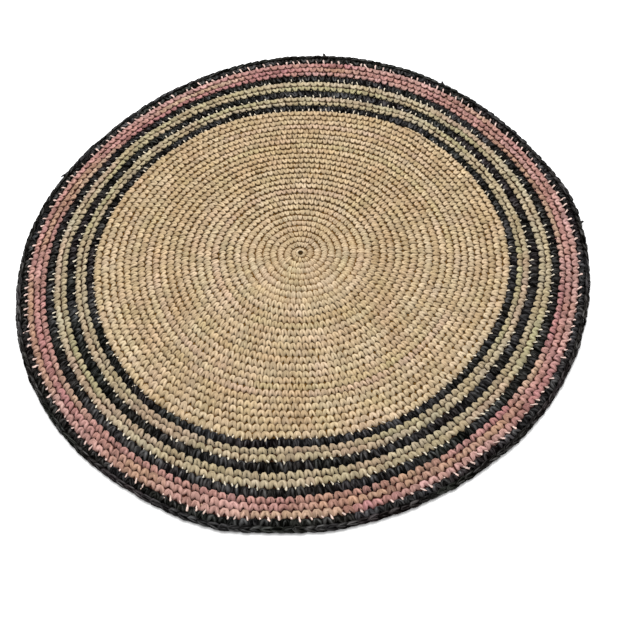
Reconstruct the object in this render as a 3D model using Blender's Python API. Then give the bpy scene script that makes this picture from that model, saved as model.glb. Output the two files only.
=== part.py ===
# Round raffia placemat, crocheted in one piece from the middle out.
#
# The mat lies flat: its underside is level, and its top face is raised in one
# soft rib for each crocheted round. The natural centre is worked on and on in
# one spiral, whose last round tapers out under the first black line. The lines
# and bands around it are rounds of their own: each rises a little as it goes
# about and steps back where it is joined to its own start. The whole mat is
# slightly out of round, and pulled out or in here and there, as hand work in a
# springy leaf fibre is.
#
# Frame: origin at the middle of the underside, +Z up out of the top face,
# -Y towards the edge that faces the diner.

from collections import namedtuple
from math import cos, degrees, hypot, atan2, radians, tau

import bmesh
import bpy
from mathutils import Matrix

MM = 0.001

# Plan sizes, in millimetres
EYE_RADIUS = 1.4
CHAIN_WIDTH = 3.2

# Heights above the table, in millimetres
EYE_FLOOR = 1.0
GROOVE_HEIGHT = 2.3
CREST_HEIGHT = 3.4
CHAIN_HEIGHT = 3.2
EDGE_MIDDLE_HEIGHT = 1.7
EDGE_TUCK = 0.9

# The crest of a round lies nearer its inner side, where its stitches are fullest
CREST_SHARE = 0.42

# Where a round of the spiral starts or tapers out, in millimetres: as wide as
# this it is at its full height, and narrower than this it isn't built
FULL_HEIGHT_WIDTH = 2.4
LEAST_WIDTH = 0.5

# Rounds from the eye outwards; pitch is the width of one round in millimetres
Section = namedtuple("Section", "name rounds pitch")
SECTIONS = (
    Section("natural centre", 28, 4.82),
    Section("first black line", 1, 4.4),
    Section("inner natural band", 2, 4.25),
    Section("second black line", 1, 5.0),
    Section("outer natural band", 2, 4.85),
    Section("third black line", 1, 4.9),
    Section("pink band", 3, 4.5),
    Section("black edge", 1, 4.6),
)

# Spiral of the centre: where it starts and ends, how much less its first round
# takes up in millimetres and how much less again its next few do, the share of
# the radius from which the rounds settle to lie along the black line, and the
# arc over which the last one tapers out
SPIRAL_ANGLE = 60.0
FIRST_ROUND_SHORT = 1.4
EARLY_SHORT = 1.6
EARLY_ROUNDS = 6
SETTLE_SHARE = 0.6
TAPER_ARC = 30.0

# Joins of the other rounds: where they start and end, how far each has climbed
# by then, in millimetres, and the arc over which it steps back. Inside the
# black line the step dies away at this power of the radius
JOIN_ANGLE = 262.0
JOIN_STEP = 3.0
JOIN_ARC = 10.0
JOIN_FADE = 6

# Out of round: each row is a set of evenly spaced lobes, with its reach in
# millimetres and the angle that its first lobe faces
Lobes = namedtuple("Lobes", "count reach facing")
CENTRE_LOBES = (
    Lobes(1, 0.8, 254.0),
    Lobes(2, 1.4, 174.0),
    Lobes(3, 0.5, 11.0),
    Lobes(6, 0.7, 51.0),
)
EDGE_LOBES = (
    Lobes(1, 0.8, 63.0),
    Lobes(2, 1.7, 81.0),
    Lobes(3, 1.0, 87.0),
    Lobes(4, 1.3, 85.0),
    Lobes(7, 0.5, 6.0),
)

# Places where the rounds were pulled out or in: the angle and radius where they
# are so most, the arc and the depth in millimetres by which it has faded on
# each side, and its reach
Pull = namedtuple("Pull", "angle radius arc depth reach")
PULLS = (
    Pull(9.0, 192.0, 12.0, 16.0, 1.9),
    Pull(52.0, 146.0, 10.0, 16.0, 1.9),
    Pull(106.0, 178.0, 16.0, 30.0, -1.5),
    Pull(136.0, 157.0, 13.0, 22.0, 1.5),
    Pull(171.0, 154.0, 10.0, 16.0, 1.4),
    Pull(261.0, 160.0, 8.0, 26.0, 2.0),
    Pull(352.0, 157.0, 13.0, 14.0, 1.4),
)

# Flat sides of the turned form around one whole turn
TURN_STEPS = 70


def clear_scene():
    for item in list(bpy.data.objects):
        bpy.data.objects.remove(item, do_unlink=True)


def section_width(section):
    return section.rounds * section.pitch


def centre_edge_radius():
    """Radius where the plain natural centre ends and the first black line starts."""
    return EYE_RADIUS + section_width(SECTIONS[0])


def ease(share):
    """Go smoothly from 0 to 1."""
    held = min(1.0, max(0.0, share))
    return held * held * (3.0 - 2.0 * held)


def spiral_edge(number, turned):
    """Radius of the spiral's inner edge in a turn of that number, after a share of that turn."""
    rounds = SECTIONS[0].rounds
    if number < 0:
        return EYE_RADIUS
    if number >= rounds:
        return centre_edge_radius()
    settled = ease((number / rounds - SETTLE_SHARE) / (1.0 - SETTLE_SHARE))
    taper = ease((turned - 1.0) * 360.0 / TAPER_ARC + 1.0)
    climbed = number + turned * (1.0 - settled * (1.0 - taper))
    gone = number + turned
    early = FIRST_ROUND_SHORT * min(1.0, gone) + EARLY_SHORT * min(1.0, gone / EARLY_ROUNDS)
    short = early * (1.0 - gone / rounds)
    edge = EYE_RADIUS + SECTIONS[0].pitch * climbed - short
    if edge < EYE_RADIUS + LEAST_WIDTH:
        return EYE_RADIUS
    if edge > centre_edge_radius() - LEAST_WIDTH:
        return centre_edge_radius()
    return edge


def mat_radius():
    return EYE_RADIUS + sum(section_width(section) for section in SECTIONS) + CHAIN_WIDTH


def half_section():
    """Radius and height pairs of the half section, from the eye over the ribs to the underside.

    The centre has one rib more than it has full rounds: the spiral's first turn starts from nothing.
    """
    points = [(0.0, EYE_FLOOR), (EYE_RADIUS, EYE_FLOOR)]
    radius = EYE_RADIUS
    for section in SECTIONS:
        extra = 1 if section is SECTIONS[0] else 0
        for _ in range(section.rounds + extra):
            points.append((radius, GROOVE_HEIGHT))
            points.append((radius + CREST_SHARE * section.pitch, CREST_HEIGHT))
            radius += section.pitch
    points.append((radius, GROOVE_HEIGHT))
    points.append((radius + 0.5 * CHAIN_WIDTH, CHAIN_HEIGHT))
    points.append((radius + CHAIN_WIDTH, EDGE_MIDDLE_HEIGHT))
    points.append((radius + CHAIN_WIDTH - EDGE_TUCK, 0.0))
    points.append((0.0, 0.0))
    return points


def climb(angle):
    """How far a round stands out from its mean radius at an angle, from its join around to its end."""
    turned = (angle - JOIN_ANGLE) % 360.0
    rise = 360.0 - JOIN_ARC
    if turned <= rise:
        share = turned / rise
    else:
        back = (turned - rise) / JOIN_ARC
        share = 1.0 - back * back * (3.0 - 2.0 * back)
    return JOIN_STEP * (share - 0.5)


def lobe_reach(lobes, angle):
    return sum(row.reach * cos(radians(row.count * (angle - row.facing))) for row in lobes)


def pulled(radius, angle):
    """Millimetres by which a plan position was pulled out."""
    reach = 0.0
    for row in PULLS:
        away = abs((angle - row.angle + 180.0) % 360.0 - 180.0) / row.arc
        off = abs(radius - row.radius) / row.depth
        reach += row.reach * (1.0 - ease(away)) * (1.0 - ease(off))
    return reach


def unevenness(radius, angle):
    """Millimetres by which the mat stands out at a plan position, fading to nothing at the eye."""
    centre_edge = centre_edge_radius()
    inner = lobe_reach(CENTRE_LOBES, angle)
    if radius <= centre_edge:
        share = radius / centre_edge
        return inner * share + climb(angle) * share ** JOIN_FADE + pulled(radius, angle)
    outward = (radius - centre_edge) / (mat_radius() - centre_edge)
    outer = lobe_reach(EDGE_LOBES, angle)
    return inner + (outer - inner) * outward + climb(angle) + pulled(radius, angle)


def wind_centre(mesh_edit, first_verts):
    """Wind the turned ribs of the centre into one spiral and move the bands in to meet it."""
    pitch = SECTIONS[0].pitch
    ribs = SECTIONS[0].rounds + 1
    for vertex in mesh_edit.verts:
        radius = hypot(vertex.co.x, vertex.co.y) / MM
        if radius < EYE_RADIUS - 0.01:
            continue
        turned = (degrees(atan2(vertex.co.y, vertex.co.x)) % 360.0) / 360.0
        if vertex in first_verts:
            turned = 0.0
        elif turned < 0.001:
            turned = 1.0
        place = (radius - EYE_RADIUS) / pitch
        if place > ribs - 0.001:
            wound = radius - pitch
        else:
            rib = int(place + 0.001)
            inner = spiral_edge(rib - 1, turned)
            width = spiral_edge(rib, turned) - inner
            wound = inner + (place - rib) * width
            if 0.1 < place - rib < 0.9:
                rise = min(1.0, width / FULL_HEIGHT_WIDTH)
                vertex.co.z = (GROOVE_HEIGHT + (CREST_HEIGHT - GROOVE_HEIGHT) * rise) * MM
        vertex.co.x *= wound / radius
        vertex.co.y *= wound / radius


def set_out_of_round(mesh_edit):
    for vertex in mesh_edit.verts:
        radius = hypot(vertex.co.x, vertex.co.y) / MM
        if radius < EYE_RADIUS * 0.5:
            continue
        angle = degrees(atan2(vertex.co.y, vertex.co.x))
        stretch = (radius + unevenness(radius, angle)) / radius
        vertex.co.x *= stretch
        vertex.co.y *= stretch


def raffia_material():
    material = bpy.data.materials.new("raffia")
    material.use_nodes = True
    shader = material.node_tree.nodes["Principled BSDF"]
    shader.inputs["Base Color"].default_value = (0.60, 0.45, 0.26, 1.0)
    shader.inputs["Roughness"].default_value = 0.65
    shader.inputs["Metallic"].default_value = 0.0
    return material


def build_mat():
    """Turn the half section once about the eye, wind its centre, then pull it all out of round."""
    mesh_edit = bmesh.new()
    corners = [mesh_edit.verts.new((radius * MM, 0.0, height * MM)) for radius, height in half_section()]
    sides = [mesh_edit.edges.new(pair) for pair in zip(corners, corners[1:])]
    bmesh.ops.spin(
        mesh_edit,
        geom=corners + sides,
        cent=(0.0, 0.0, 0.0),
        axis=(0.0, 0.0, 1.0),
        angle=tau,
        steps=TURN_STEPS,
    )
    wind_centre(mesh_edit, set(corners))
    bmesh.ops.rotate(mesh_edit, verts=mesh_edit.verts, matrix=Matrix.Rotation(radians(SPIRAL_ANGLE), 3, "Z"))
    bmesh.ops.remove_doubles(mesh_edit, verts=mesh_edit.verts, dist=0.01 * MM)
    set_out_of_round(mesh_edit)
    bmesh.ops.recalc_face_normals(mesh_edit, faces=mesh_edit.faces)

    mesh = bpy.data.meshes.new("mat")
    mesh_edit.to_mesh(mesh)
    mesh_edit.free()
    mesh.materials.append(raffia_material())
    mesh.shade_smooth()
    mat = bpy.data.objects.new("mat", mesh)
    bpy.context.collection.objects.link(mat)
    return mat


clear_scene()
build_mat()
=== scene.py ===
from math import atan2, cos, pi, radians, sin, tau
from random import Random

import bmesh
import bpy
from mathutils import Matrix, Vector, noise


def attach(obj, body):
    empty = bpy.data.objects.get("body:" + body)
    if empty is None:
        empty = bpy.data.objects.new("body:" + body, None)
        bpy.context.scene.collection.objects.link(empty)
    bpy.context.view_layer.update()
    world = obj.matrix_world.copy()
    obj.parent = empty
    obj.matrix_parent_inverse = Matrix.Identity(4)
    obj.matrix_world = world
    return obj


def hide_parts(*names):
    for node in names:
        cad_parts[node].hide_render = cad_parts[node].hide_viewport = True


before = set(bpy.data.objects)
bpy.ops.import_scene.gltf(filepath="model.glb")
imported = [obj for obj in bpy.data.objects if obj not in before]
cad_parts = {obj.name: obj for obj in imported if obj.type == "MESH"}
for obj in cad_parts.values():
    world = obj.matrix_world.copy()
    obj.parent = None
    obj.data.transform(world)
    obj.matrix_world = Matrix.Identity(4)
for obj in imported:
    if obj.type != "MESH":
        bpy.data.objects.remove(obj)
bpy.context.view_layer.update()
mm = 0.001

# the mat's plan in millimetres and degrees, laid out as its solid is
plan = {
    "eye": 1.4,  # radius of the hole that the first round is worked into
    "chain": 3.2,  # width of the loops along the edge
    "spiralAngle": 60.0,  # where the spiral of the centre starts and ends
    "firstShort": 1.4,  # how much less its first round takes up
    "earlyShort": 1.6,  # and how much less again the next few do
    "earlyRounds": 6.0,
    "settle": 0.6,  # from this share of the radius it settles to lie along the black line
    "taperArc": 30.0,  # over how much of the turn the last round tapers out
    "joinAngle": 262.0,  # where each round of the bands starts and ends
    "joinStep": 3.0,  # how far such a round climbs before it steps back
    "joinArc": 10.0,  # over how much of the turn it does so
    "joinFade": 6,  # that step dies away inside the black line at this power of the radius
    "leastWidth": 0.9,  # no stitch is worked where a round is narrower than this
    "added": 7.25,  # stitches added in each round while the centre widens
    "sway": 0.45,  # rows wander this much from a true ring
    "heave": 0.25,  # and this much up and down
}

# sections of rounds from the middle out
sections = [
    {"name": "centre", "raffia": "natural", "rounds": 28, "pitch": 4.82, "stitches": 174},
    {"name": "firstLine", "raffia": "black", "rounds": 1, "pitch": 4.4, "stitches": 174},
    {"name": "innerBand", "raffia": "khaki", "rounds": 2, "pitch": 4.25, "stitches": 174},
    {"name": "secondLine", "raffia": "black", "rounds": 1, "pitch": 5.0, "stitches": 174},
    {"name": "outerBand", "raffia": "khaki", "rounds": 2, "pitch": 4.85, "stitches": 198},
    {"name": "thirdLine", "raffia": "black", "rounds": 1, "pitch": 4.9, "stitches": 198},
    {"name": "pinkBand", "raffia": "pink", "rounds": 3, "pitch": 4.5, "stitches": 198},
    {"name": "edge", "raffia": "black", "rounds": 1, "pitch": 4.6, "stitches": 198},
]

# the mat is a little out of round: number of lobes, reach, and where the first one faces
centreLobes = [(1, 0.8, 254.0), (2, 1.4, 174.0), (3, 0.5, 11.0), (6, 0.7, 51.0)]
edgeLobes = [(1, 0.8, 63.0), (2, 1.7, 81.0), (3, 1.0, 87.0), (4, 1.3, 85.0), (7, 0.5, 6.0)]

# places where the rounds were pulled out or in: the angle and radius where they are so most, the
# arc and the depth by which it has faded on each side, and its reach
pulls = [
    {"angle": 9.0, "radius": 192.0, "arc": 12.0, "depth": 16.0, "reach": 1.9},
    {"angle": 52.0, "radius": 146.0, "arc": 10.0, "depth": 16.0, "reach": 1.9},
    {"angle": 106.0, "radius": 178.0, "arc": 16.0, "depth": 30.0, "reach": -1.5},
    {"angle": 136.0, "radius": 157.0, "arc": 13.0, "depth": 22.0, "reach": 1.5},
    {"angle": 171.0, "radius": 154.0, "arc": 10.0, "depth": 16.0, "reach": 1.4},
    {"angle": 261.0, "radius": 160.0, "arc": 8.0, "depth": 26.0, "reach": 2.0},
    {"angle": 352.0, "radius": 157.0, "arc": 13.0, "depth": 14.0, "reach": 1.4},
]

centreRadius = plan["eye"] + sections[0]["rounds"] * sections[0]["pitch"]
rowsRadius = plan["eye"] + sum(s["rounds"] * s["pitch"] for s in sections)
matRadius = rowsRadius + plan["chain"]


def ease(share):
    held = min(1.0, max(0.0, share))
    return held * held * (3.0 - 2.0 * held)


def climb(angle):
    turned = (angle - plan["joinAngle"]) % 360.0
    rise = 360.0 - plan["joinArc"]
    if turned <= rise:
        return plan["joinStep"] * (turned / rise - 0.5)
    back = (turned - rise) / plan["joinArc"]
    return plan["joinStep"] * (0.5 - back * back * (3.0 - 2.0 * back))


def lobeReach(lobes, angle):
    return sum(reach * cos(radians(count * (angle - facing))) for count, reach, facing in lobes)


# reach of the uneven outline, kept for every quarter of a degree
centreReach = [lobeReach(centreLobes, step / 4) for step in range(1441)]
centreClimb = [climb(step / 4) for step in range(1441)]
edgeReach = [lobeReach(edgeLobes, step / 4) + climb(step / 4) for step in range(1441)]


def pulled(radius, angle):
    reach = 0.0
    for pull in pulls:
        away = abs((angle - pull["angle"] + 180.0) % 360.0 - 180.0) / pull["arc"]
        off = abs(radius - pull["radius"]) / pull["depth"]
        if away < 1.0 and off < 1.0:
            reach += pull["reach"] * (1.0 - ease(away)) * (1.0 - ease(off))
    return reach


def unevenness(radius, angle):
    step = int((angle % 360.0) * 4.0 + 0.5)
    inner = centreReach[step] + centreClimb[step]
    if radius <= centreRadius:
        share = radius / centreRadius
        even = centreReach[step] * share + centreClimb[step] * share ** plan["joinFade"]
        return even + pulled(radius, angle)
    outer = edgeReach[step]
    even = inner + (outer - inner) * (radius - centreRadius) / (matRadius - centreRadius)
    return even + pulled(radius, angle)


# a point of the mat from its angle, its radius in a true ring and its height
def onMat(angle, radius, height):
    turn = radians(angle)
    flat = Vector((cos(turn) * radius, sin(turn) * radius, 0.0))
    drift = noise.noise(flat / 21.0)
    lift = noise.noise(flat / 34.0 + Vector((7.0, 3.0, 1.0)))
    steady = min(1.0, radius / 25.0)
    reach = radius + unevenness(radius, angle) + plan["sway"] * drift * steady
    level = max(0.0, min(1.0, height / 2.0))
    return Vector((cos(turn) * reach, sin(turn) * reach, height + plan["heave"] * lift * level)) * mm


# radius where a turn of the centre's spiral begins, after a share of that turn
def spiralEdge(number, turned):
    number += int(turned // 1.0)
    turned %= 1.0
    turns = sections[0]["rounds"]
    if number < 0:
        return plan["eye"]
    if number >= turns:
        return centreRadius
    settled = ease((number / turns - plan["settle"]) / (1.0 - plan["settle"]))
    taper = ease((turned - 1.0) * 360.0 / plan["taperArc"] + 1.0)
    climbed = number + turned * (1.0 - settled * (1.0 - taper))
    gone = number + turned
    early = plan["firstShort"] * min(1.0, gone) + plan["earlyShort"] * min(1.0, gone / plan["earlyRounds"])
    return plan["eye"] + sections[0]["pitch"] * climbed - early * (1.0 - gone / turns)


# the centre's stitches follow one another along its spiral: each turn lists where its own stand
# and how wide they are, in degrees
def spiralTurns():
    section = sections[0]
    turns = []
    for number in range(section["rounds"] + 1):
        last = number == section["rounds"]
        turn = {"section": "centre", "raffia": section["raffia"], "turn": number, "spots": []}
        turns.append(dict(turn, first=False, last=last))
    gone = 0.0
    while gone < 360.0 * len(turns):
        number = int(gone / 360.0)
        width = 360.0 / min(section["stitches"] - 0.38, max(5.0, plan["added"] * (gone / 360.0 + 0.5)))
        turns[number]["spots"].append((plan["spiralAngle"] + gone - 360.0 * number, width))
        gone += width
    return turns


# the rounds of the bands stand part of a stitch on from each other, and most of one over a
# change of colour
def listRounds():
    rounds = spiralTurns()
    radius = centreRadius
    start = plan["joinAngle"]
    for section in sections[1:]:
        width = 360.0 / section["stitches"]
        for number in range(section["rounds"]):
            changed = number == 0
            start += (0.92 if changed else 0.2 + 0.25 * ((len(rounds) * 0.618) % 1.0)) * width
            rounds.append(
                {
                    "section": section["name"],
                    "raffia": section["raffia"],
                    "inner": radius,
                    "pitch": section["pitch"],
                    "spots": [(start + spot * width, width) for spot in range(section["stitches"])],
                    "first": changed,
                    "last": number == section["rounds"] - 1,
                }
            )
            radius += section["pitch"]
    return rounds


# where a round begins and how wide it is, at an angle
def roundAt(course, angle):
    if "turn" not in course:
        return course["inner"], course["pitch"]
    turned = (angle - plan["spiralAngle"]) / 360.0
    inner = spiralEdge(course["turn"] - 1, turned)
    return inner, spiralEdge(course["turn"], turned) - inner


rounds = listRounds()
print("rounds:", len(rounds), "stitches:", sum(len(r["spots"]) for r in rounds))


# strands

# a strand is a ring of points drawn on from one station to the next, each station being
# (x, y, z, half width, half thickness)
def sweepStrand(edit, stations, sides):
    places = [Vector(s[:3]) for s in stations]
    frames = []
    for index, place in enumerate(places):
        before = places[max(0, index - 1)]
        after = places[min(len(places) - 1, index + 1)]
        along = (after - before).normalized()
        across = Vector((-along.y, along.x, 0.0)).normalized()
        upward = along.cross(across)
        wide, thick = stations[index][3:5]
        columns = (across * wide, upward * thick, along)
        turned = Matrix([[c[row] for c in columns] for row in range(3)]).to_4x4()
        frames.append(Matrix.Translation(place) @ turned)
    first = bmesh.ops.create_circle(edit, cap_ends=True, radius=1.0, segments=sides, matrix=frames[0])
    ring = list({edge for vert in first["verts"] for edge in vert.link_edges})
    grain = {vert: grainOf(vert, frames[0], 0.0) for vert in first["verts"]}
    reach = 0.0
    for index in range(1, len(frames)):
        reach += (places[index] - places[index - 1]).length
        drawn = bmesh.ops.extrude_edge_only(edit, edges=ring)["geom"]
        verts = [item for item in drawn if isinstance(item, bmesh.types.BMVert)]
        ring = [item for item in drawn if isinstance(item, bmesh.types.BMEdge) and item.is_boundary]
        bmesh.ops.transform(edit, matrix=frames[index] @ frames[index - 1].inverted(), verts=verts)
        for vert in verts:
            grain[vert] = grainOf(vert, frames[index], reach)
    bmesh.ops.edgeloop_fill(edit, edges=ring)
    return grain


# where a point lies along its strand, and how far round it from side to side
def grainOf(vert, station, reach):
    local = station.inverted() @ vert.co
    return reach, abs(atan2(local.y, local.x)) / pi


# one strand's mesh in its own small frame, with its grain in the UV map
def strandForm(stations, sides):
    edit = bmesh.new()
    grain = sweepStrand(edit, stations, sides)
    grainMap = edit.loops.layers.uv.new("strand")
    bmesh.ops.recalc_face_normals(edit, faces=edit.faces)
    for face in edit.faces:
        face.smooth = True
        for loop in face.loops:
            loop[grainMap].uv = grain[loop.vert]
    mesh = bpy.data.meshes.new("strandForm")
    edit.to_mesh(mesh)
    edit.free()
    return mesh


# forms of one strand that differ as hand-pulled ones do
def strandForms(settings, rng):
    forms = []
    for _ in range(settings["forms"]):
        stations = []
        for x, y, z, wide, thick in settings["stations"]:
            stations.append(
                (
                    x + rng.gauss(0.0, settings["stray"]),
                    y + rng.gauss(0.0, settings["stray"]),
                    z + rng.gauss(0.0, settings["stray"] * 0.8),
                    wide * rng.uniform(0.9, 1.1),
                    thick * rng.uniform(0.9, 1.1),
                )
            )
        forms.append(strandForm(stations, settings["sides"]))
    return forms


# raffia colours

# tones of each raffia, as linear red, green and blue with how often it comes up, and its deep tint: painted
# shade, browner and darker, that the low parts of its strands and the web are multiplied by
raffias = {
    "natural": {
        "slot": "natural_raffia",
        "tones": [
            ((0.464, 0.350, 0.214), 8),
            ((0.484, 0.374, 0.238), 5),
            ((0.446, 0.329, 0.193), 3),
            ((0.460, 0.338, 0.225), 1),
            ((0.448, 0.350, 0.201), 1),
        ],
        "patch": (0.395, 0.270, 0.150),
        "shadeTint": (1.36, 0.88, 0.27),
        "stretch": (9, 46),
        "uneven": 0.04,
    },
    "khaki": {
        "slot": "natural_raffia",
        "tones": [
            ((0.367, 0.297, 0.187), 6),
            ((0.400, 0.335, 0.224), 3),
            ((0.342, 0.301, 0.172), 2),
            ((0.378, 0.281, 0.194), 2),
        ],
        "patch": (0.320, 0.225, 0.140),
        "shadeTint": (0.50, 0.22, 0.06),
        "stretch": (2, 11),
        "uneven": 0.065,
    },
    "black": {
        "slot": "black_raffia",
        "tones": [
            ((0.0120, 0.0110, 0.0098), 5),
            ((0.0190, 0.0182, 0.0186), 3),
            ((0.0110, 0.0116, 0.0100), 2),
            ((0.0130, 0.0102, 0.0104), 2),
            ((0.0270, 0.0252, 0.0250), 1),
        ],
        "patch": (0.0060, 0.0048, 0.0046),
        "shadeTint": (0.20, 0.14, 0.10),
        "stretch": (2, 9),
        "uneven": 0.28,
    },
    "pink": {
        "slot": "pink_raffia",
        "tones": [
            ((0.378, 0.201, 0.172), 5),
            ((0.416, 0.243, 0.210), 3),
            ((0.372, 0.225, 0.155), 3),
            ((0.359, 0.170, 0.159), 2),
            ((0.395, 0.264, 0.183), 2),
        ],
        "patch": (0.300, 0.155, 0.122),
        "shadeTint": (0.62, 0.27, 0.18),
        "stretch": (3, 15),
        "uneven": 0.07,
    },
}


# the colour of each stitch in turn, as one length of leaf gives way to the next
def yarnColours(raffia, rng):
    tones = [Vector(tone) for tone, often in raffia["tones"]]
    often = [often for tone, often in raffia["tones"]]
    before = rng.choices(tones, often)[0]
    while True:
        after = rng.choices(tones, often)[0]
        for step in range(rng.randint(*raffia["stretch"])):
            colour = before.lerp(after, min(1.0, (step + 1) / 4.0))
            yield colour * max(0.3, 1.0 + rng.gauss(0.0, raffia["uneven"]))
        before = after


def patchShare(place):
    cloud = noise.noise(place / 22.0 + Vector((3.0, 11.0, 2.0))) + 0.4 * noise.noise(place / 9.0)
    return max(0.0, min(0.5, (cloud - 0.14) * 1.1))


# the leaf's own drift from pinkish to green and from pale to straw, as red, green and blue
def leafTint(place):
    warm = noise.noise(place / 15.0 + Vector((5.0, 2.0, 9.0)))
    pale = noise.noise(place / 11.0 + Vector((1.0, 8.0, 4.0)))
    return Vector((1.0 + 0.04 * warm, 1.0 - 0.02 * warm, 1.0 + 0.10 * pale))


# stitches

# one stitch stands up as an arch: out of the round before it, over its round top that faces
# the middle, and down under the next round. x is in stitch widths, y in rounds, z in fives
# of a millimetre
stitch = {
    "stations": [
        (-0.40, 1.14, 0.16, 0.18, 0.09),
        (-0.37, 0.98, 0.29, 0.20, 0.14),
        (-0.28, 0.75, 0.42, 0.26, 0.18),
        (-0.215, 0.48, 0.505, 0.295, 0.20),
        (-0.13, 0.26, 0.45, 0.23, 0.18),
        (0.13, 0.25, 0.445, 0.23, 0.18),
        (0.215, 0.48, 0.495, 0.295, 0.195),
        (0.29, 0.75, 0.405, 0.26, 0.175),
        (0.39, 0.98, 0.28, 0.19, 0.13),
        (0.44, 1.14, 0.15, 0.17, 0.08),
    ],
    "sides": 6,
    "forms": 9,
    "stray": 0.027,
    "slant": 0.13,  # how far it leans along its round on its way out
    "lean": 0.16,  # how much more or less than that it may
    "swell": 0.13,  # how much its size may differ
    "lift": 0.34,  # and its height, in millimetres
    "tuckedShade": 0.24,  # painted shade: how much darker it is coloured where it dips under the next round
    "dip": 0.74,  # and from where on
    "depth": 1.0,  # and how much of its raffia's painted shade, browner and darker, it takes on low down
}


# the turns around the eye are worked tight and lie like a smooth cord
coilStitch = dict(
    stitch,
    stations=[
        (-0.28, 1.08, 0.13, 0.24, 0.08),
        (-0.26, 0.95, 0.26, 0.28, 0.14),
        (-0.23, 0.79, 0.39, 0.32, 0.17),
        (-0.21, 0.55, 0.47, 0.34, 0.19),
        (-0.15, 0.31, 0.36, 0.23, 0.16),
        (0.15, 0.30, 0.36, 0.23, 0.16),
        (0.21, 0.55, 0.465, 0.34, 0.19),
        (0.23, 0.79, 0.38, 0.32, 0.165),
        (0.27, 0.95, 0.25, 0.28, 0.13),
        (0.30, 1.08, 0.12, 0.24, 0.08),
    ],
    tuckedShade=0.12,
)

# the first stitches of a new colour stand taller and apart, and the old colour shows between them
crownStitch = dict(
    stitch,
    stations=[
        (-0.36, 1.12, 0.10, 0.14, 0.09),
        (-0.32, 0.98, 0.28, 0.21, 0.14),
        (-0.235, 0.77, 0.44, 0.26, 0.19),
        (-0.20, 0.54, 0.53, 0.24, 0.20),
        (-0.13, 0.345, 0.475, 0.20, 0.18),
        (0.13, 0.335, 0.47, 0.20, 0.18),
        (0.20, 0.54, 0.52, 0.24, 0.195),
        (0.24, 0.77, 0.43, 0.26, 0.18),
        (0.34, 0.98, 0.27, 0.19, 0.13),
        (0.40, 1.12, 0.10, 0.12, 0.08),
    ],
)

# the stitches of a black line reach in between the next colour's
lineStitch = dict(
    stitch,
    stations=[
        (-0.34, 1.34, 0.20, 0.17, 0.10),
        (-0.31, 1.10, 0.31, 0.24, 0.14),
        (-0.24, 0.80, 0.42, 0.30, 0.19),
        (-0.20, 0.48, 0.505, 0.31, 0.20),
        (-0.13, 0.25, 0.44, 0.23, 0.18),
        (0.13, 0.24, 0.435, 0.23, 0.18),
        (0.20, 0.48, 0.495, 0.31, 0.195),
        (0.25, 0.80, 0.41, 0.30, 0.18),
        (0.35, 1.10, 0.30, 0.23, 0.13),
        (0.41, 1.34, 0.20, 0.16, 0.09),
    ],
)


# which form a round is worked in
def stitchOf(course):
    if course.get("turn", 99) < 9:
        return coilStitch
    if course["first"] and course["raffia"] != "black":
        return crownStitch
    return lineStitch if course["section"].endswith("Line") else stitch


def workStitches(name, chosen, seed, settingsOf, colourOf=None):
    rng = Random(seed)
    formSets = []
    for course in chosen:
        settings = settingsOf(course)
        if not formSets or formSets[-1][0] is not settings:
            formSets.append((settings, strandForms(settings, rng)))
        course["forms"] = formSets[-1][1]
    yarns = {kind: yarnColours(raffia, rng) for kind, raffia in raffias.items()}
    edit = bmesh.new()
    laid = []
    for course in chosen:
        settings = settingsOf(course)
        forms = course["forms"]
        for angle, width in course["spots"]:
            colour = next(yarns[course["raffia"]])
            if rng.random() < settings.get("missing", 0.0):
                continue
            if roundAt(course, angle)[1] < plan["leastWidth"]:
                continue
            pick = rng.randrange(len(forms))
            edit.from_mesh(forms[pick])
            laid.append(
                {
                    "course": course,
                    "verts": len(forms[pick].vertices),
                    "angle": angle,
                    "width": width,
                    "lean": settings["slant"] + rng.gauss(0.0, settings["lean"] * 0.5),
                    "wide": 1.0 + rng.gauss(0.0, settings["swell"] * 0.5),
                    "long": 1.0 + rng.gauss(0.0, settings["swell"] * 0.6),
                    "lift": rng.gauss(0.0, settings["lift"] * 0.5),
                    "shift": rng.gauss(0.0, 0.02),
                    "colour": colour,
                    "seed": rng.random(),
                }
            )
    colourShadeLayer = edit.verts.layers.float_color.new("strandColourAndShade")
    seedLayer = edit.verts.layers.float.new("strandSeed")
    verts = iter(edit.verts)
    for item in laid:
        course = item["course"]
        settings = settingsOf(course)
        inner, pitch = roundAt(course, item["angle"])
        middle = onMat(item["angle"], inner + pitch * 0.5, 0.0) / mm
        raffia = raffias[course["raffia"]]
        colour = item["colour"].lerp(Vector(raffia["patch"]), patchShare(middle)) * leafTint(middle)
        if colourOf:
            colour = colourOf(course, colour)
        for _ in range(item["verts"]):
            vert = next(verts)
            x, y, z = vert.co
            x = x * item["wide"] + item["shift"] + item["lean"] * (y - 0.4)
            y = 0.5 + (y - 0.5) * item["long"]
            height = z * 5.0 + item["lift"] * min(1.0, max(0.0, z * 2.5))
            angle = item["angle"] + x * item["width"]
            inner, pitch = roundAt(course, angle)
            vert.co = onMat(angle, inner + y * max(pitch, plan["leastWidth"]), height)
            # painted shade: each strand is coloured browner and darker low down, and darker again where it
            # dips under the next round
            depth = settings["depth"] * max(0.0, min(1.0, (0.35 - z) / 0.27))
            dipped = max(0.0, min(1.0, (y - settings["dip"]) / 0.2))
            shade = 1.0 - settings["tuckedShade"] * dipped
            shadeTint = [1.0 + (part - 1.0) * depth for part in raffia["shadeTint"]]
            vert[colourShadeLayer] = (*(part * shade * own for own, part in zip(colour, shadeTint)), 1.0)
            vert[seedLayer] = item["seed"]
    for settings, forms in formSets:
        for form in forms:
            bpy.data.meshes.remove(form)
    piece = finishPiece(name, edit)
    print(name, "strands:", len(laid), "faces:", len(piece.data.polygons))
    return piece


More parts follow.
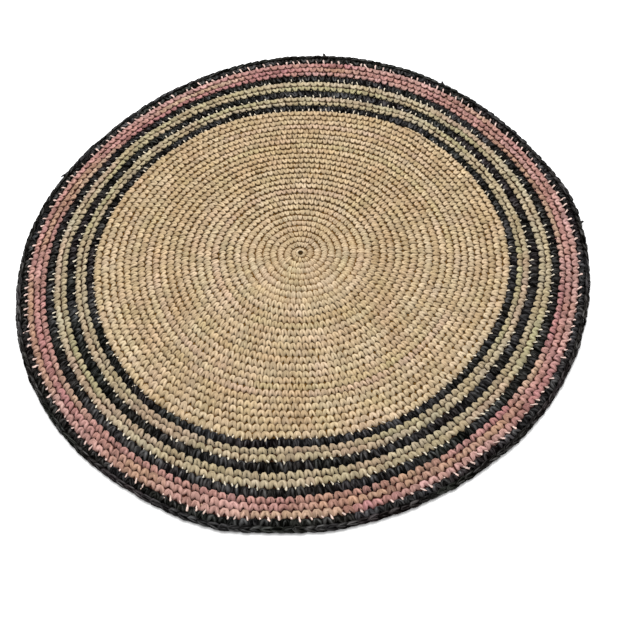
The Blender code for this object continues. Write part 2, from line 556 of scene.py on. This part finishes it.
def finishPiece(name, edit):
    mesh = bpy.data.meshes.new(name)
    edit.to_mesh(mesh)
    edit.free()
    piece = bpy.data.objects.new(name, mesh)
    bpy.context.scene.collection.objects.link(piece)
    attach(piece, "root")
    return piece


# materials

fibre = {
    "alongScale": 0.7,  # how often the grain changes along a stitch
    "acrossScale": 2.7,  # and from side to side of a strand
    "ridge": 0.0004,
    "relief": 0.9,
}


def strandMaterial(name, look):
    material = bpy.data.materials.new(name)
    material.use_nodes = True
    nodes = material.node_tree.nodes
    links = material.node_tree.links
    shader = nodes["Principled BSDF"]
    shader.inputs["Sheen Weight"].default_value = look["sheen"]
    shader.inputs["Sheen Roughness"].default_value = 0.4

    # the strand's own colour with its painted shade already multiplied in
    colour = nodes.new("ShaderNodeAttribute")
    colour.attribute_name = "strandColourAndShade"
    seed = nodes.new("ShaderNodeAttribute")
    seed.attribute_name = "strandSeed"
    grain = nodes.new("ShaderNodeUVMap")
    grain.uv_map = "strand"
    stretch = nodes.new("ShaderNodeMapping")
    stretch.inputs["Scale"].default_value = (fibre["alongScale"], fibre["acrossScale"], 1.0)
    links.new(grain.outputs["UV"], stretch.inputs["Vector"])

    fibres = nodes.new("ShaderNodeTexNoise")
    fibres.noise_dimensions = "4D"
    fibres.inputs["Scale"].default_value = 1.0
    fibres.inputs["Detail"].default_value = 4.0
    fibres.inputs["Roughness"].default_value = 0.6
    spread = nodes.new("ShaderNodeMath")
    spread.operation = "MULTIPLY"
    spread.inputs[1].default_value = 40.0
    links.new(seed.outputs["Fac"], spread.inputs[0])
    links.new(stretch.outputs["Vector"], fibres.inputs["Vector"])
    links.new(spread.outputs["Value"], fibres.inputs["W"])

    shade = nodes.new("ShaderNodeMapRange")
    shade.inputs["From Min"].default_value = look["darkAt"]
    shade.inputs["From Max"].default_value = 0.60
    shade.inputs["To Min"].default_value = look["dark"]
    shade.inputs["To Max"].default_value = look["light"]
    links.new(fibres.outputs["Fac"], shade.inputs["Value"])
    tint = nodes.new("ShaderNodeVectorMath")
    tint.operation = "SCALE"
    links.new(colour.outputs["Color"], tint.inputs[0])
    links.new(shade.outputs["Result"], tint.inputs["Scale"])
    links.new(tint.outputs["Vector"], shader.inputs["Base Color"])

    gloss = nodes.new("ShaderNodeMapRange")
    gloss.inputs["From Min"].default_value = 0.3
    gloss.inputs["From Max"].default_value = 0.7
    gloss.inputs["To Min"].default_value = look["rough"] + 0.12
    gloss.inputs["To Max"].default_value = look["rough"] - 0.08
    links.new(fibres.outputs["Fac"], gloss.inputs["Value"])
    links.new(gloss.outputs["Result"], shader.inputs["Roughness"])

    shine = nodes.new("ShaderNodeMapRange")
    shine.inputs["From Min"].default_value = 0.50
    shine.inputs["From Max"].default_value = 0.66
    shine.inputs["To Max"].default_value = look["specular"]
    links.new(fibres.outputs["Fac"], shine.inputs["Value"])
    links.new(shine.outputs["Result"], shader.inputs["Specular IOR Level"])

    bump = nodes.new("ShaderNodeBump")
    bump.inputs["Strength"].default_value = fibre["relief"]
    bump.inputs["Distance"].default_value = fibre["ridge"]
    links.new(fibres.outputs["Fac"], bump.inputs["Height"])
    links.new(bump.outputs["Normal"], shader.inputs["Normal"])
    return material


strandLooks = {
    "natural": {"sheen": 0.08, "specular": 0.60, "dark": 0.68, "light": 1.14, "darkAt": 0.39, "rough": 0.55},
    "black": {"sheen": 0.0, "specular": 0.50, "dark": 0.20, "light": 1.90, "darkAt": 0.42, "rough": 0.50},
    "pink": {"sheen": 0.08, "specular": 0.50, "dark": 0.58, "light": 1.19, "darkAt": 0.39, "rough": 0.58},
}
strandMaterials = {
    "natural_raffia": strandMaterial("naturalRaffia", strandLooks["natural"]),
    "black_raffia": strandMaterial("blackRaffia", strandLooks["black"]),
    "pink_raffia": strandMaterial("pinkRaffia", strandLooks["pink"]),
}


def dress(piece, slot):
    piece.data.materials.append(strandMaterials[slot])


# stitches of every section

stitchPieces = [
    ("centreStitches", rounds[:20], "natural_raffia"),
    ("outerCentreStitches", rounds[20:29], "natural_raffia"),
    ("innerBandStitches", [r for r in rounds if r["section"] == "innerBand"], "natural_raffia"),
    ("outerBandStitches", [r for r in rounds if r["section"] == "outerBand"], "natural_raffia"),
    ("blackLineStitches", [r for r in rounds if r["section"].endswith("Line")], "black_raffia"),
    ("pinkBandStitches", [r for r in rounds if r["section"] == "pinkBand"], "pink_raffia"),
    ("edgeStitches", [r for r in rounds if r["section"] == "edge"], "black_raffia"),
]
for number, (name, chosen, slot) in enumerate(stitchPieces):
    piece = workStitches(name, chosen, 100 + number, stitchOf)
    dress(piece, slot)

# the strand's top that pokes out between the stitches of the next colour, short on the natural rounds and long
# on the last pink one; it is coloured much paler than its raffia as a painted glint
paleTip = {
    "stations": [
        (0.25, 0.84, 0.42, 0.07, 0.07),
        (0.29, 1.00, 0.50, 0.085, 0.08),
        (0.32, 1.15, 0.57, 0.11, 0.08),
        (0.34, 1.27, 0.59, 0.09, 0.06),
        (0.35, 1.33, 0.58, 0.03, 0.02),
    ],
    "sides": 5,
    "forms": 8,
    "stray": 0.03,
    "slant": 0.10,
    "lean": 0.38,
    "swell": 0.28,
    "lift": 0.6,
    "tuckedShade": 0.0,
    "dip": 1.0,
    "depth": 1.0,
    "missing": 0.15,  # the share of stitches that show none
}
longTip = dict(
    paleTip,
    stations=[
        (0.22, 0.76, 0.42, 0.07, 0.07),
        (0.26, 1.00, 0.50, 0.09, 0.08),
        (0.30, 1.18, 0.59, 0.125, 0.09),
        (0.33, 1.34, 0.61, 0.11, 0.07),
        (0.34, 1.42, 0.60, 0.04, 0.03),
    ],
    missing=0.08,
)
# painted glint: the pale colours that the tops are blended towards
paintedGlintColours = {"natural": (0.70, 0.62, 0.49), "khaki": (0.72, 0.65, 0.52), "pink": (0.76, 0.58, 0.51)}


def tipOf(course):
    return longTip if course["raffia"] == "pink" else paleTip


def paintedGlint(course, colour):
    return colour.lerp(Vector(paintedGlintColours[course["raffia"]]), 0.75)


for name, kinds, slot in (
    ("naturalTips", ("natural", "khaki"), "natural_raffia"),
    ("pinkTips", ("pink",), "pink_raffia"),
):
    chosen = [r for r in rounds if r["last"] and r["raffia"] in kinds]
    piece = workStitches(name, chosen, 200 + len(name), tipOf, paintedGlint)
    dress(piece, slot)

# the ring of raffia that the first stitches are worked over
eyeRing = {"radius": 2.45, "thick": 0.85, "height": 2.0, "steps": 28, "sides": 10}


def makeEyeRing():
    edit = bmesh.new()
    aside = Matrix.Translation((eyeRing["radius"], 0.0, eyeRing["height"]))
    upright = aside @ Matrix.Rotation(pi / 2, 4, "X")
    circle = bmesh.ops.create_circle(edit, radius=eyeRing["thick"], segments=eyeRing["sides"], matrix=upright)
    loop = circle["verts"] + list(edit.edges)
    bmesh.ops.spin(
        edit, geom=loop, cent=(0, 0, 0), axis=(0, 0, 1), angle=tau, steps=eyeRing["steps"], use_merge=True
    )
    grainMap = edit.loops.layers.uv.new("strand")
    colourShadeLayer = edit.verts.layers.float_color.new("strandColourAndShade")
    tone = Vector(raffias["natural"]["tones"][1][0])
    for face in edit.faces:
        face.smooth = True
        for corner in face.loops:
            x, y, z = corner.vert.co
            corner[grainMap].uv = (atan2(y, x), (z - eyeRing["height"]) / eyeRing["thick"])
    # painted shade: the ring goes browner and darker low down and nearly black on its inner side, so the eye
    # reads as a dark hole
    for vert in edit.verts:
        low = max(0.0, min(1.0, (eyeRing["height"] - vert.co.z) / eyeRing["thick"]))
        inward = max(0.0, (eyeRing["radius"] - Vector(vert.co[:2]).length) / eyeRing["thick"])
        innerShade = 1.0 - 0.9 * inward ** 3
        shadeTint = raffias["natural"]["shadeTint"]
        vert[colourShadeLayer] = (*(t * innerShade * (1.0 + (d - 1.0) * low) for t, d in zip(tone, shadeTint)), 1.0)
    bmesh.ops.scale(edit, vec=(mm, mm, mm), verts=edit.verts)
    bmesh.ops.recalc_face_normals(edit, faces=edit.faces)
    return finishPiece("eyeRing", edit)


eyePiece = makeEyeRing()
dress(eyePiece, "natural_raffia")

# loops along the edge, each open towards the next and lying half over it
edgeRound = rounds[-1]
chainSpots = [(angle + 0.6, width) for angle, width in edgeRound["spots"]]
chainRound = dict(edgeRound, inner=rowsRadius - 0.4, pitch=plan["chain"] + 1.0, spots=chainSpots)
chainLink = {
    "stations": [
        (0.80, 0.28, 0.32, 0.15, 0.09),
        (0.26, 0.25, 0.50, 0.22, 0.15),
        (-0.24, 0.31, 0.54, 0.23, 0.16),
        (-0.46, 0.47, 0.50, 0.19, 0.16),
        (-0.24, 0.63, 0.43, 0.23, 0.17),
        (0.26, 0.69, 0.36, 0.22, 0.16),
        (0.80, 0.64, 0.24, 0.15, 0.09),
    ],
    "sides": 6,
    "forms": 8,
    "stray": 0.03,
    "slant": 0.0,
    "lean": 0.12,
    "swell": 0.10,
    "lift": 0.25,
    "tuckedShade": 0.0,
    "dip": 1.0,
    "depth": 1.0,
}
edgeChain = workStitches("edgeChain", [chainRound], 301, lambda course: chainLink)
dress(edgeChain, "black_raffia")

# the back of each stitch: a bar that lies across it, under the mat
backBar = {
    "stations": [
        (-0.58, 0.38, 0.20, 0.24, 0.08),
        (-0.22, 0.30, 0.115, 0.32, 0.105),
        (0.22, 0.30, 0.115, 0.32, 0.105),
        (0.58, 0.42, 0.20, 0.24, 0.08),
    ],
    "sides": 5,
    "forms": 6,
    "stray": 0.015,
    "slant": 0.0,
    "lean": 0.06,
    "swell": 0.06,
    "lift": 0.0,
    "tuckedShade": 0.0,
    "dip": 1.0,
    "depth": 0.15,
}
for name, kinds, slot in (
    ("centreBacks", ("natural",), "natural_raffia"),
    ("bandBacks", ("khaki",), "natural_raffia"),
    ("blackBacks", ("black",), "black_raffia"),
    ("pinkBacks", ("pink",), "pink_raffia"),
):
    chosen = [r for r in rounds if r["raffia"] in kinds]
    piece = workStitches(name, chosen, 400 + len(name), lambda course: backBar)
    dress(piece, slot)

# ends of raffia that stick out at the edge
yarnEnd = {
    "angles": (80.7, 51.5, 1.4, 152.0),
    "stations": [
        (0.0, -0.35, 0.36, 0.20, 0.12),
        (0.10, 0.20, 0.48, 0.22, 0.13),
        (0.25, 0.62, 0.46, 0.18, 0.10),
        (0.30, 1.00, 0.34, 0.08, 0.05),
    ],
    "sides": 6,
    "forms": 4,
    "stray": 0.05,
    "slant": 0.0,
    "lean": 0.3,
    "swell": 0.2,
    "lift": 0.3,
    "tuckedShade": 0.0,
    "dip": 1.0,
    "depth": 1.0,
}
endRounds = [
    dict(edgeRound, inner=matRadius - 0.8, pitch=3.2, spots=[(angle, 1.8)]) for angle in yarnEnd["angles"]
]
yarnEnds = workStitches("yarnEnds", endRounds, 302, lambda course: yarnEnd)
dress(yarnEnds, "black_raffia")


# the web that the stitches stand in, a thin disc under them, coloured as painted shade where it shows between
# them

web = {
    "steps": 180,
    "height": 1.2,
    "thick": 0.5,
    "rim": 1.9,  # how far it reaches out under the edge's loops
    "shade": 0.18,  # painted shade: how much darker than the stitches it is coloured, as it lies in their shade
    "eyeShade": 0.3,  # and how much darker again the painted shade is in the eye
    "backShade": 0.6,  # and how much painted shade it takes between the bars on the back
}


def makeWeb():
    edit = bmesh.new()
    outer = rowsRadius + web["rim"]
    bandRadii = [r["inner"] for r in rounds if "inner" in r]
    radii = [0.0, plan["eye"]] + [10.0 * ring for ring in range(1, 14)] + bandRadii + [outer]
    line = []
    for number, radius in enumerate(radii):
        line.append((radius, web["height"] + (0.12 if number % 2 else 0.0)))
    for radius in reversed(radii):
        line.append((radius, web["height"] - web["thick"]))
    verts = [edit.verts.new((radius, 0.0, height)) for radius, height in line]
    edges = [edit.edges.new(pair) for pair in zip(verts, verts[1:])]
    bmesh.ops.spin(
        edit, geom=verts + edges, cent=(0, 0, 0), axis=(0, 0, 1), angle=tau, steps=web["steps"], use_merge=True
    )
    bmesh.ops.remove_doubles(edit, verts=edit.verts, dist=0.001)
    colourShadeLayer = edit.loops.layers.float_color.new("strandColourAndShade")
    for face in edit.faces:
        face.smooth = True
        middle = face.calc_center_median()
        reach = Vector(middle[:2]).length
        back = middle.z < web["height"] - web["thick"] / 2
        course = [r for r in rounds if "turn" in r or r["inner"] <= reach][-1]
        raffia = raffias["black" if course["first"] and not back else course["raffia"]]
        # painted shade: the raffia's tone darkened as under the stitches, darker still in the eye and less on
        # the back, then given the deep tint
        tone = Vector(raffia["tones"][0][0]) * web["backShade" if back else "shade"]
        if reach < 2.0 * plan["eye"] and not back:
            tone *= web["eyeShade"]
        for loop in face.loops:
            loop[colourShadeLayer] = (*(t * d for t, d in zip(tone, raffia["shadeTint"])), 1.0)
    for vert in edit.verts:
        angle = atan2(vert.co.y, vert.co.x) * 180.0 / pi
        vert.co = onMat(angle, Vector(vert.co[:2]).length, vert.co.z)
    bmesh.ops.recalc_face_normals(edit, faces=edit.faces)
    return finishPiece("web", edit)


def webMaterial():
    material = bpy.data.materials.new("shadedRaffia")
    material.use_nodes = True
    nodes = material.node_tree.nodes
    links = material.node_tree.links
    shader = nodes["Principled BSDF"]
    shader.inputs["Roughness"].default_value = 0.85
    shader.inputs["Specular IOR Level"].default_value = 0.1
    where = nodes.new("ShaderNodeTexCoord")
    mottle = nodes.new("ShaderNodeTexNoise")
    mottle.inputs["Scale"].default_value = 420.0
    links.new(where.outputs["Object"], mottle.inputs["Vector"])
    colour = nodes.new("ShaderNodeAttribute")
    colour.attribute_name = "strandColourAndShade"
    shade = nodes.new("ShaderNodeMapRange")
    shade.inputs["To Min"].default_value = 0.4
    shade.inputs["To Max"].default_value = 1.6
    links.new(mottle.outputs["Fac"], shade.inputs["Value"])
    tint = nodes.new("ShaderNodeVectorMath")
    tint.operation = "SCALE"
    links.new(colour.outputs["Color"], tint.inputs[0])
    links.new(shade.outputs["Result"], tint.inputs["Scale"])
    links.new(tint.outputs["Vector"], shader.inputs["Base Color"])
    bump = nodes.new("ShaderNodeBump")
    bump.inputs["Distance"].default_value = 0.0003
    links.new(mottle.outputs["Fac"], bump.inputs["Height"])
    links.new(bump.outputs["Normal"], shader.inputs["Normal"])
    return material


webPiece = makeWeb()
webPiece.data.materials.append(webMaterial())
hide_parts("mat")
print("web faces:", len(webPiece.data.polygons))

# floor, light and camera

setting = {
    "floorSize": 6.0,
    "floorColour": (0.93, 0.93, 0.93, 1.0),
    "worldStrength": 0.85,
    "keyEnergy": 14.0,
    "keySize": 0.8,
    "keyPlace": (0.0, 0.3, 1.08),
}


def addFloor():
    edit = bmesh.new()
    bmesh.ops.create_grid(edit, x_segments=1, y_segments=1, size=setting["floorSize"] / 2)
    bmesh.ops.translate(edit, vec=(0.0, 0.0, -0.0002), verts=edit.verts)
    mesh = bpy.data.meshes.new("floor")
    edit.to_mesh(mesh)
    edit.free()
    material = bpy.data.materials.new("paleFloor")
    material.use_nodes = True
    shader = material.node_tree.nodes["Principled BSDF"]
    shader.inputs["Base Color"].default_value = setting["floorColour"]
    shader.inputs["Roughness"].default_value = 0.9
    shader.inputs["Specular IOR Level"].default_value = 0.1
    mesh.materials.append(material)
    floor = bpy.data.objects.new("floor", mesh)
    bpy.context.scene.collection.objects.link(floor)
    return floor


def addLight():
    world = bpy.data.worlds.new("paleRoom")
    world.use_nodes = True
    back = world.node_tree.nodes["Background"]
    back.inputs["Color"].default_value = (1.0, 1.0, 1.0, 1.0)
    back.inputs["Strength"].default_value = setting["worldStrength"]
    bpy.context.scene.world = world
    lamp = bpy.data.lights.new("softKey", "AREA")
    lamp.shape = "SQUARE"
    lamp.size = setting["keySize"]
    lamp.energy = setting["keyEnergy"]
    key = bpy.data.objects.new("softKey", lamp)
    key.location = setting["keyPlace"]
    key.rotation_euler = (-Vector(setting["keyPlace"])).to_track_quat("-Z", "Y").to_euler()
    bpy.context.scene.collection.objects.link(key)


# where the photograph was taken from, in millimetres and degrees
view = {"place": (9.13, -331.68, 445.90), "down": 57.966, "roll": -4.903, "lens": 46.36}


def addCamera():
    lens = bpy.data.cameras.new("camera")
    lens.lens = view["lens"]
    lens.sensor_width = 36.0
    lens.clip_start = 0.01
    camera = bpy.data.objects.new("camera", lens)
    tilt = Matrix.Rotation(radians(90.0 - view["down"]), 4, "X")
    turned = tilt @ Matrix.Rotation(radians(view["roll"]), 4, "Z")
    camera.matrix_world = Matrix.Translation(Vector(view["place"]) * mm) @ turned
    bpy.context.scene.collection.objects.link(camera)
    bpy.context.scene.camera = camera


floor = addFloor()
addLight()
addCamera()
bpy.context.scene.view_settings.view_transform = "Standard"
